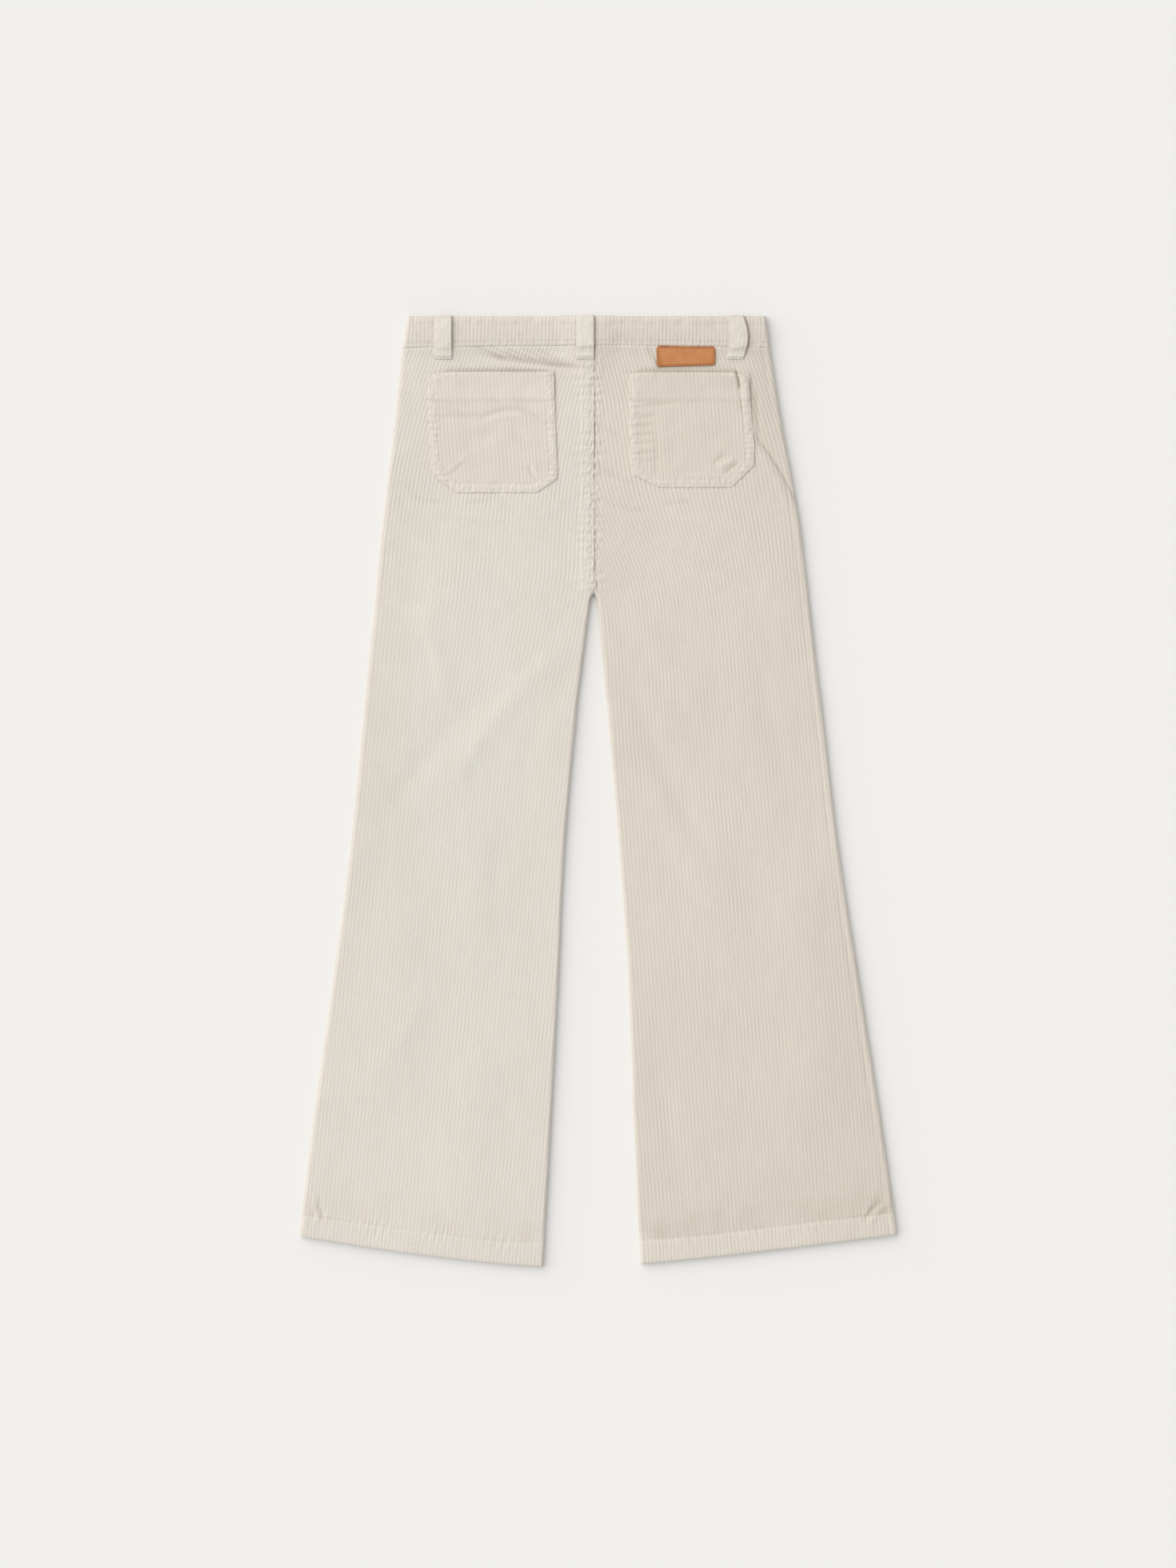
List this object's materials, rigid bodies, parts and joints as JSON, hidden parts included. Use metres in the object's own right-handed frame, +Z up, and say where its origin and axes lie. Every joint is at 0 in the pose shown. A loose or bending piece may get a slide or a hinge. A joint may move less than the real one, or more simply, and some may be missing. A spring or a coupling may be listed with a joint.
{
  "type": "corduroy trousers",
  "caption": "Child's wide-leg corduroy trousers lying flat on their front, with patch pockets, belt loops and a bare leather patch on the back.",
  "frame": {"origin": "on the surface the trousers lie on, under the middle of their outline", "axes": "+Y towards the waist, +Z up through the front and then the back, +X to the wearer's right, which is the right as seen from above"},
  "size_m": [0.5026, 0.7994, 0.0128],
  "materials": {
    "corduroy": "ribbed cotton pile",
    "leather": "smooth, matt",
    "button": "satin"
  },
  "bodies": {
    "root": {"back_left": "corduroy", "back_right": "corduroy", "front_left": "corduroy", "front_right": "corduroy", "waistband_back": "corduroy", "waistband_front_left": "corduroy", "waistband_front_right": "corduroy", "pocket_left": "corduroy", "pocket_right": "corduroy", "belt_loop_left": "corduroy", "belt_loop_centre": "corduroy", "belt_loop_right": "corduroy", "leather_patch": "leather", "waist_button": "button"}
  },
  "joints": []
}
